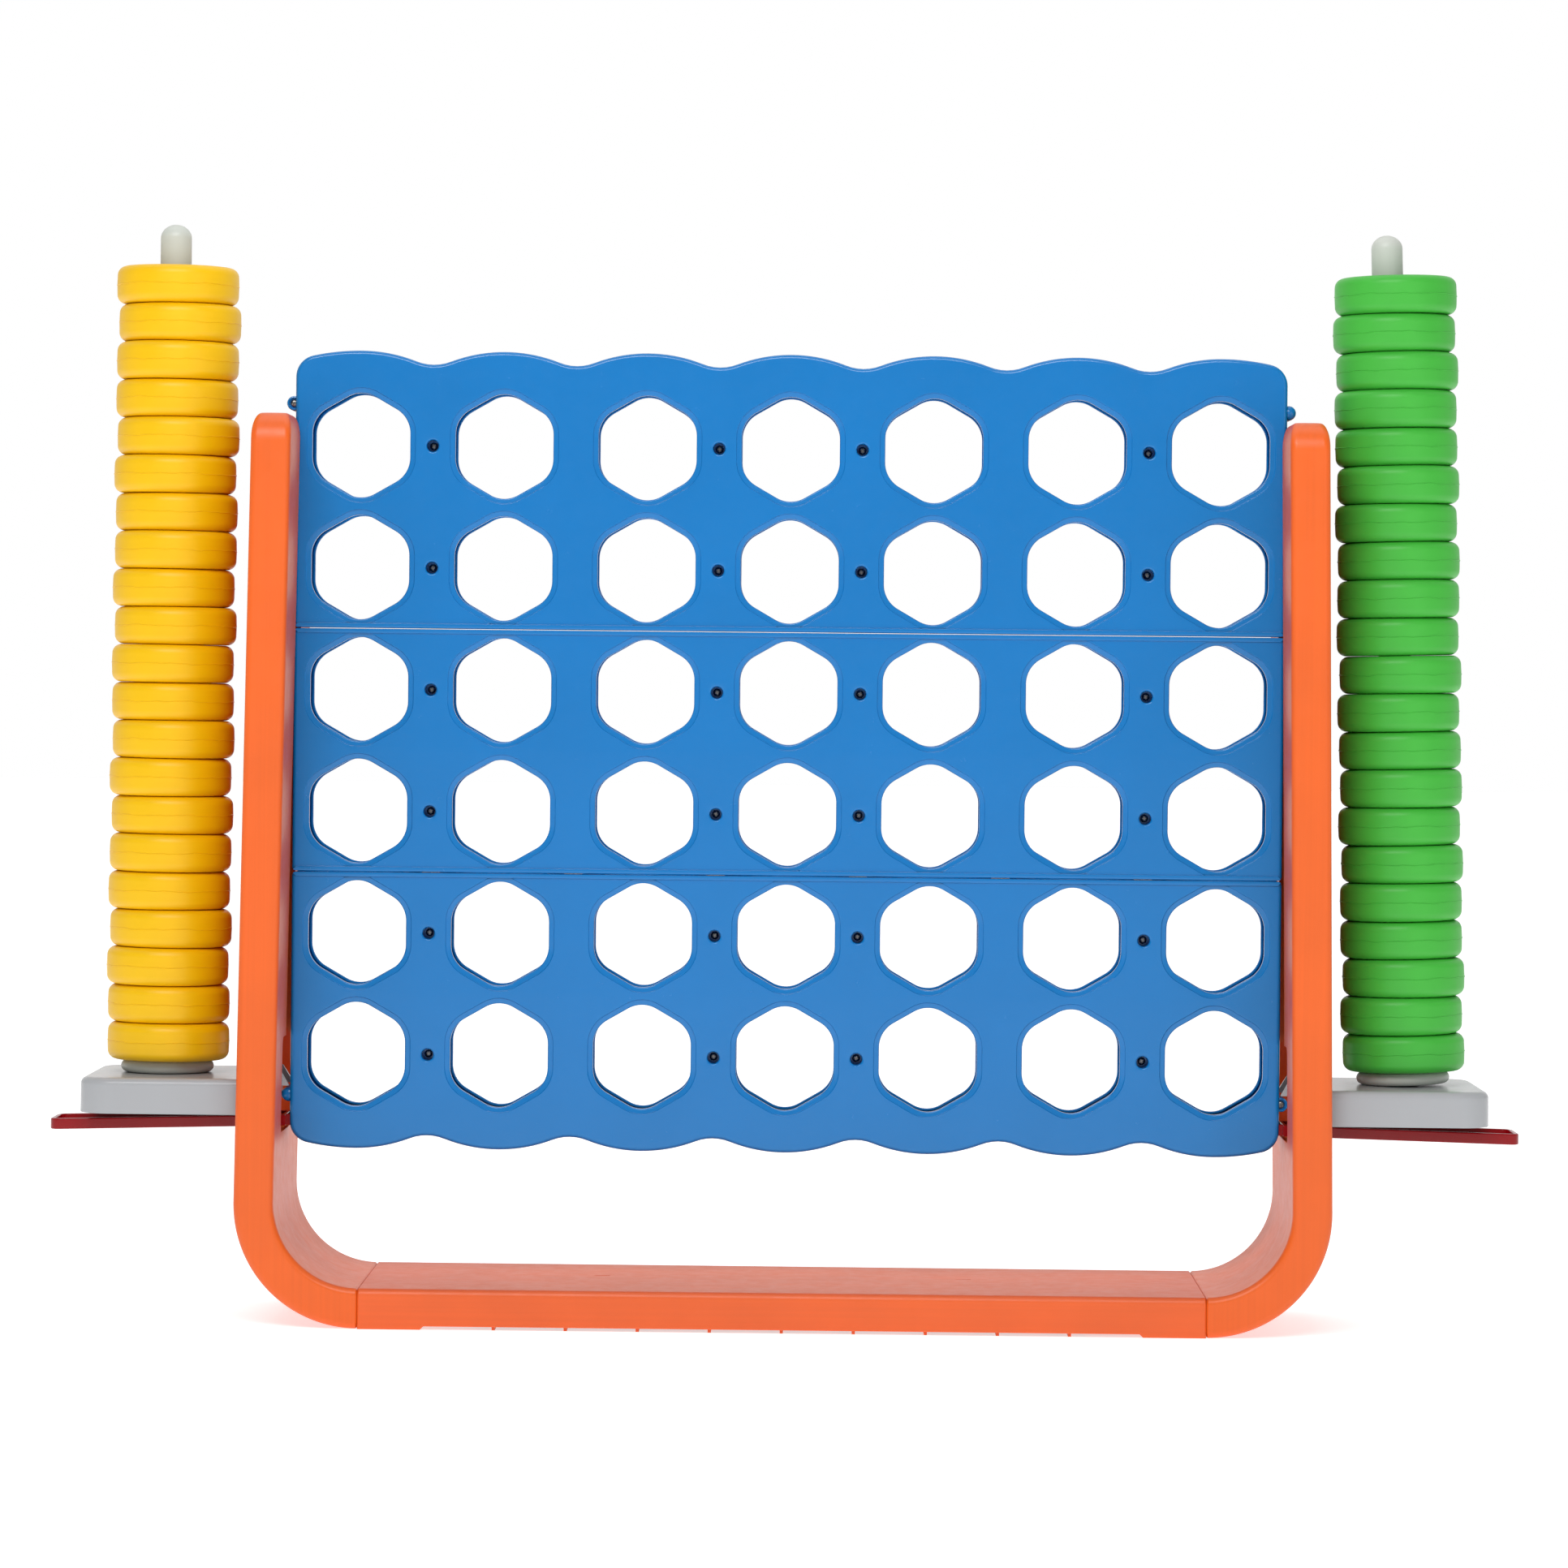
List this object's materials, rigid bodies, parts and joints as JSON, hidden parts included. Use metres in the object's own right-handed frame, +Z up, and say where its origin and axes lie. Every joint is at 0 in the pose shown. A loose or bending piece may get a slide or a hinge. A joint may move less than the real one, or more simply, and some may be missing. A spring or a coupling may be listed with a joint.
{
  "type": "giant four in a row",
  "caption": "Standing drop-in ring game: windowed board in a U-shaped stand, release sliders under the columns and two side posts stacked with playing rings",
  "frame": {"origin": "centre of the stand's footprint on the floor", "axes": "+X along the board towards the green rings, +Y to the back, +Z up"},
  "size_m": [1.624, 0.29, 1.2084],
  "materials": {
    "board_plastic": "satin moulded plastic, faint moulding texture",
    "stand_plastic": "satin moulded plastic with fine draw lines",
    "slider_plastic": "glossy moulded plastic",
    "tray_plastic": "glossy moulded plastic",
    "post_plastic": "satin moulded plastic",
    "yellow_ring_plastic": "satin moulded plastic with a mould parting line",
    "green_ring_plastic": "satin moulded plastic with a mould parting line",
    "screw_steel": "bright zinc plated cross-head screw"
  },
  "bodies": {
    "root": {"base_plate": "stand_plastic", "left_leg": "stand_plastic", "right_leg": "stand_plastic", "top_panel_front": "board_plastic", "top_panel_back": "board_plastic", "middle_panel_front": "board_plastic", "middle_panel_back": "board_plastic", "bottom_panel_front": "board_plastic", "bottom_panel_back": "board_plastic", "left_ring_tray": "tray_plastic", "right_ring_tray": "tray_plastic", "left_post": "post_plastic", "right_post": "post_plastic"},
    "left_slider": {"left_slider": "slider_plastic"},
    "right_slider": {"right_slider": "slider_plastic"},
    "yellow_ring_01": {"yellow_ring_01": "yellow_ring_plastic"},
    "yellow_ring_02": {"yellow_ring_02": "yellow_ring_plastic"},
    "yellow_ring_03": {"yellow_ring_03": "yellow_ring_plastic"},
    "yellow_ring_04": {"yellow_ring_04": "yellow_ring_plastic"},
    "yellow_ring_05": {"yellow_ring_05": "yellow_ring_plastic"},
    "yellow_ring_06": {"yellow_ring_06": "yellow_ring_plastic"},
    "yellow_ring_07": {"yellow_ring_07": "yellow_ring_plastic"},
    "yellow_ring_08": {"yellow_ring_08": "yellow_ring_plastic"},
    "yellow_ring_09": {"yellow_ring_09": "yellow_ring_plastic"},
    "yellow_ring_10": {"yellow_ring_10": "yellow_ring_plastic"},
    "yellow_ring_11": {"yellow_ring_11": "yellow_ring_plastic"},
    "yellow_ring_12": {"yellow_ring_12": "yellow_ring_plastic"},
    "yellow_ring_13": {"yellow_ring_13": "yellow_ring_plastic"},
    "yellow_ring_14": {"yellow_ring_14": "yellow_ring_plastic"},
    "yellow_ring_15": {"yellow_ring_15": "yellow_ring_plastic"},
    "yellow_ring_16": {"yellow_ring_16": "yellow_ring_plastic"},
    "yellow_ring_17": {"yellow_ring_17": "yellow_ring_plastic"},
    "yellow_ring_18": {"yellow_ring_18": "yellow_ring_plastic"},
    "yellow_ring_19": {"yellow_ring_19": "yellow_ring_plastic"},
    "yellow_ring_20": {"yellow_ring_20": "yellow_ring_plastic"},
    "yellow_ring_21": {"yellow_ring_21": "yellow_ring_plastic"},
    "green_ring_01": {"green_ring_01": "green_ring_plastic"},
    "green_ring_02": {"green_ring_02": "green_ring_plastic"},
    "green_ring_03": {"green_ring_03": "green_ring_plastic"},
    "green_ring_04": {"green_ring_04": "green_ring_plastic"},
    "green_ring_05": {"green_ring_05": "green_ring_plastic"},
    "green_ring_06": {"green_ring_06": "green_ring_plastic"},
    "green_ring_07": {"green_ring_07": "green_ring_plastic"},
    "green_ring_08": {"green_ring_08": "green_ring_plastic"},
    "green_ring_09": {"green_ring_09": "green_ring_plastic"},
    "green_ring_10": {"green_ring_10": "green_ring_plastic"},
    "green_ring_11": {"green_ring_11": "green_ring_plastic"},
    "green_ring_12": {"green_ring_12": "green_ring_plastic"},
    "green_ring_13": {"green_ring_13": "green_ring_plastic"},
    "green_ring_14": {"green_ring_14": "green_ring_plastic"},
    "green_ring_15": {"green_ring_15": "green_ring_plastic"},
    "green_ring_16": {"green_ring_16": "green_ring_plastic"},
    "green_ring_17": {"green_ring_17": "green_ring_plastic"},
    "green_ring_18": {"green_ring_18": "green_ring_plastic"},
    "green_ring_19": {"green_ring_19": "green_ring_plastic"},
    "green_ring_20": {"green_ring_20": "green_ring_plastic"},
    "green_ring_21": {"green_ring_21": "green_ring_plastic"}
  },
  "joints": [
    {"name": "right_slider_pull", "type": "slide", "parent": "root", "child": "right_slider", "axis": [1, 0, 0], "range_m": [0, 0.079]},
    {"name": "left_slider_pull", "type": "slide", "parent": "root", "child": "left_slider", "axis": [-1, 0, 0], "range_m": [0, 0.079]},
    {"name": "yellow_ring_21_lift", "type": "slide", "parent": "yellow_ring_20", "child": "yellow_ring_21", "axis": [0.0077, 0, 1], "range_m": [0, 0.09]},
    {"name": "green_ring_21_lift", "type": "slide", "parent": "green_ring_20", "child": "green_ring_21", "axis": [-0.0227, 0, 0.9997], "range_m": [0, 0.09]},
    {"name": "yellow_ring_20_lift", "type": "slide", "parent": "yellow_ring_19", "child": "yellow_ring_20", "axis": [0.0077, 0, 1], "range_m": [0, 0.09]},
    {"name": "green_ring_20_lift", "type": "slide", "parent": "green_ring_19", "child": "green_ring_20", "axis": [-0.0227, 0, 0.9997], "range_m": [0, 0.09]},
    {"name": "yellow_ring_19_lift", "type": "slide", "parent": "yellow_ring_18", "child": "yellow_ring_19", "axis": [0.0077, 0, 1], "range_m": [0, 0.09]},
    {"name": "green_ring_19_lift", "type": "slide", "parent": "green_ring_18", "child": "green_ring_19", "axis": [-0.0227, 0, 0.9997], "range_m": [0, 0.09]},
    {"name": "yellow_ring_18_lift", "type": "slide", "parent": "yellow_ring_17", "child": "yellow_ring_18", "axis": [0.0077, 0, 1], "range_m": [0, 0.09]},
    {"name": "green_ring_18_lift", "type": "slide", "parent": "green_ring_17", "child": "green_ring_18", "axis": [-0.0227, 0, 0.9997], "range_m": [0, 0.09]},
    {"name": "yellow_ring_17_lift", "type": "slide", "parent": "yellow_ring_16", "child": "yellow_ring_17", "axis": [0.0077, 0, 1], "range_m": [0, 0.09]},
    {"name": "green_ring_17_lift", "type": "slide", "parent": "green_ring_16", "child": "green_ring_17", "axis": [-0.0227, 0, 0.9997], "range_m": [0, 0.09]},
    {"name": "yellow_ring_16_lift", "type": "slide", "parent": "yellow_ring_15", "child": "yellow_ring_16", "axis": [0.0077, 0, 1], "range_m": [0, 0.09]},
    {"name": "green_ring_16_lift", "type": "slide", "parent": "green_ring_15", "child": "green_ring_16", "axis": [-0.0227, 0, 0.9997], "range_m": [0, 0.09]},
    {"name": "yellow_ring_15_lift", "type": "slide", "parent": "yellow_ring_14", "child": "yellow_ring_15", "axis": [0.0077, 0, 1], "range_m": [0, 0.09]},
    {"name": "green_ring_15_lift", "type": "slide", "parent": "green_ring_14", "child": "green_ring_15", "axis": [-0.0227, 0, 0.9997], "range_m": [0, 0.09]},
    {"name": "yellow_ring_14_lift", "type": "slide", "parent": "yellow_ring_13", "child": "yellow_ring_14", "axis": [0.0077, 0, 1], "range_m": [0, 0.09]},
    {"name": "green_ring_14_lift", "type": "slide", "parent": "green_ring_13", "child": "green_ring_14", "axis": [-0.0227, 0, 0.9997], "range_m": [0, 0.09]},
    {"name": "yellow_ring_13_lift", "type": "slide", "parent": "yellow_ring_12", "child": "yellow_ring_13", "axis": [0.0077, 0, 1], "range_m": [0, 0.09]},
    {"name": "green_ring_13_lift", "type": "slide", "parent": "green_ring_12", "child": "green_ring_13", "axis": [-0.0227, 0, 0.9997], "range_m": [0, 0.09]},
    {"name": "yellow_ring_12_lift", "type": "slide", "parent": "yellow_ring_11", "child": "yellow_ring_12", "axis": [0.0077, 0, 1], "range_m": [0, 0.09]},
    {"name": "green_ring_12_lift", "type": "slide", "parent": "green_ring_11", "child": "green_ring_12", "axis": [-0.0227, 0, 0.9997], "range_m": [0, 0.09]},
    {"name": "yellow_ring_11_lift", "type": "slide", "parent": "yellow_ring_10", "child": "yellow_ring_11", "axis": [0.0077, 0, 1], "range_m": [0, 0.09]},
    {"name": "green_ring_11_lift", "type": "slide", "parent": "green_ring_10", "child": "green_ring_11", "axis": [-0.0227, 0, 0.9997], "range_m": [0, 0.09]},
    {"name": "yellow_ring_10_lift", "type": "slide", "parent": "yellow_ring_09", "child": "yellow_ring_10", "axis": [0.0077, 0, 1], "range_m": [0, 0.09]},
    {"name": "green_ring_10_lift", "type": "slide", "parent": "green_ring_09", "child": "green_ring_10", "axis": [-0.0227, 0, 0.9997], "range_m": [0, 0.09]},
    {"name": "yellow_ring_09_lift", "type": "slide", "parent": "yellow_ring_08", "child": "yellow_ring_09", "axis": [0.0077, 0, 1], "range_m": [0, 0.09]},
    {"name": "green_ring_09_lift", "type": "slide", "parent": "green_ring_08", "child": "green_ring_09", "axis": [-0.0227, 0, 0.9997], "range_m": [0, 0.09]},
    {"name": "yellow_ring_08_lift", "type": "slide", "parent": "yellow_ring_07", "child": "yellow_ring_08", "axis": [0.0077, 0, 1], "range_m": [0, 0.09]},
    {"name": "green_ring_08_lift", "type": "slide", "parent": "green_ring_07", "child": "green_ring_08", "axis": [-0.0227, 0, 0.9997], "range_m": [0, 0.09]},
    {"name": "yellow_ring_07_lift", "type": "slide", "parent": "yellow_ring_06", "child": "yellow_ring_07", "axis": [0.0077, 0, 1], "range_m": [0, 0.09]},
    {"name": "green_ring_07_lift", "type": "slide", "parent": "green_ring_06", "child": "green_ring_07", "axis": [-0.0227, 0, 0.9997], "range_m": [0, 0.09]},
    {"name": "yellow_ring_06_lift", "type": "slide", "parent": "yellow_ring_05", "child": "yellow_ring_06", "axis": [0.0077, 0, 1], "range_m": [0, 0.09]},
    {"name": "green_ring_06_lift", "type": "slide", "parent": "green_ring_05", "child": "green_ring_06", "axis": [-0.0227, 0, 0.9997], "range_m": [0, 0.09]},
    {"name": "yellow_ring_05_lift", "type": "slide", "parent": "yellow_ring_04", "child": "yellow_ring_05", "axis": [0.0077, 0, 1], "range_m": [0, 0.09]},
    {"name": "green_ring_05_lift", "type": "slide", "parent": "green_ring_04", "child": "green_ring_05", "axis": [-0.0227, 0, 0.9997], "range_m": [0, 0.09]},
    {"name": "yellow_ring_04_lift", "type": "slide", "parent": "yellow_ring_03", "child": "yellow_ring_04", "axis": [0.0077, 0, 1], "range_m": [0, 0.09]},
    {"name": "green_ring_04_lift", "type": "slide", "parent": "green_ring_03", "child": "green_ring_04", "axis": [-0.0227, 0, 0.9997], "range_m": [0, 0.09]},
    {"name": "yellow_ring_03_lift", "type": "slide", "parent": "yellow_ring_02", "child": "yellow_ring_03", "axis": [0.0077, 0, 1], "range_m": [0, 0.09]},
    {"name": "green_ring_03_lift", "type": "slide", "parent": "green_ring_02", "child": "green_ring_03", "axis": [-0.0227, 0, 0.9997], "range_m": [0, 0.09]},
    {"name": "yellow_ring_02_lift", "type": "slide", "parent": "yellow_ring_01", "child": "yellow_ring_02", "axis": [0.0077, 0, 1], "range_m": [0, 0.09]},
    {"name": "green_ring_02_lift", "type": "slide", "parent": "green_ring_01", "child": "green_ring_02", "axis": [-0.0227, 0, 0.9997], "range_m": [0, 0.09]},
    {"name": "yellow_ring_01_lift", "type": "slide", "parent": "root", "child": "yellow_ring_01", "axis": [0.0077, 0, 1], "range_m": [0, 0.09]},
    {"name": "green_ring_01_lift", "type": "slide", "parent": "root", "child": "green_ring_01", "axis": [-0.0227, 0, 0.9997], "range_m": [0, 0.09]}
  ]
}
